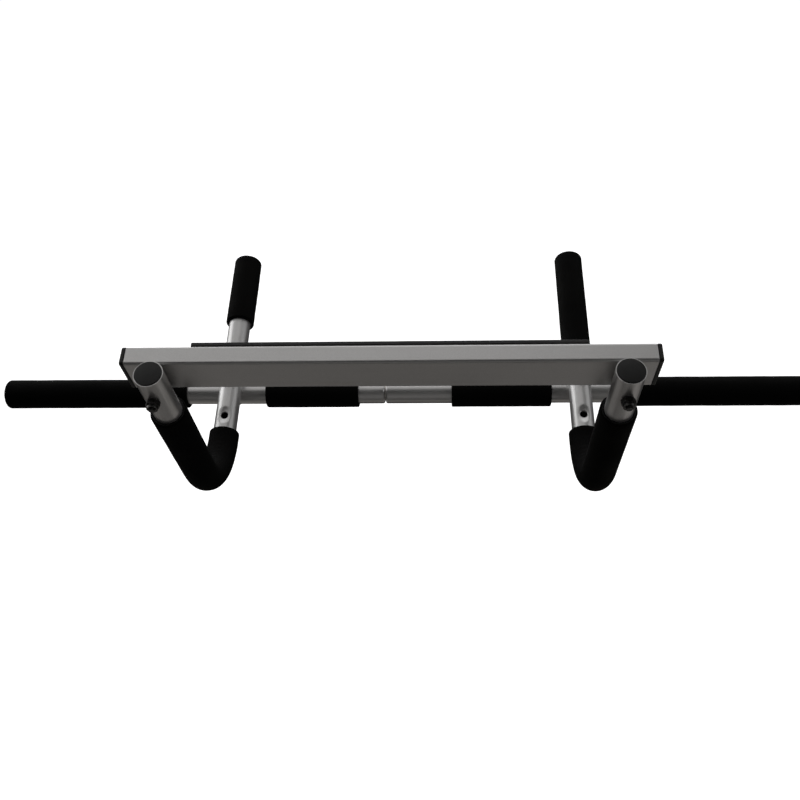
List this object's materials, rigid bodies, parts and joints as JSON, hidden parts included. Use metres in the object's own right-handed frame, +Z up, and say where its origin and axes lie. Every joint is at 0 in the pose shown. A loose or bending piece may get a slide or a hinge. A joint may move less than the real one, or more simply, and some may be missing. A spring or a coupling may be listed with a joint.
{
  "type": "doorway pull up bar",
  "caption": "Doorway pull-up bar: a crossbar rests on the door trim and bent arms carry a long grip bar and forward handles in foam sleeves.",
  "frame": {"origin": "middle of the crossbar's flat underside, which rests on top of the door trim", "axes": "+X along the crossbar and the long bar, +Y level from the crossbar through the doorway towards the person, +Z up in use"},
  "size_m": [0.9458, 0.347, 0.288],
  "materials": {
    "silver_paint": "satin",
    "black_foam": "matte",
    "pad_rubber": "matte",
    "foam_tape": "matte",
    "black_plastic": "satin",
    "black_steel": "satin",
    "zinc_steel": "satin",
    "nylon": "satin"
  },
  "bodies": {
    "root": {"arm_top_plug_left": "black_plastic", "arm_top_plug_right": "black_plastic", "arm_tube_left": "silver_paint", "arm_tube_right": "silver_paint", "bend_foam_left": "black_foam", "bend_foam_right": "black_foam", "centre_grip_left": "black_foam", "centre_grip_right": "black_foam", "crossbar_bolts": "black_steel", "crossbar_cap_left": "black_plastic", "crossbar_cap_right": "black_plastic", "crossbar_nut_rings": "nylon", "crossbar_nuts": "black_steel", "crossbar_tube": "silver_paint", "handle_end_plug_left": "black_plastic", "handle_end_plug_right": "black_plastic", "handle_foam_left": "black_foam", "handle_foam_right": "black_foam", "joint_socket": "zinc_steel", "joint_stud": "zinc_steel", "long_bar_bolts": "black_steel", "long_bar_end_foam_left": "black_foam", "long_bar_end_foam_right": "black_foam", "long_bar_end_plug_left": "black_plastic", "long_bar_end_plug_right": "black_plastic", "long_bar_nut_rings": "nylon", "long_bar_nuts": "black_steel", "long_bar_tube_left": "silver_paint", "long_bar_tube_right": "silver_paint", "wall_pad": "pad_rubber", "wall_pad_tape": "foam_tape"}
  },
  "joints": []
}
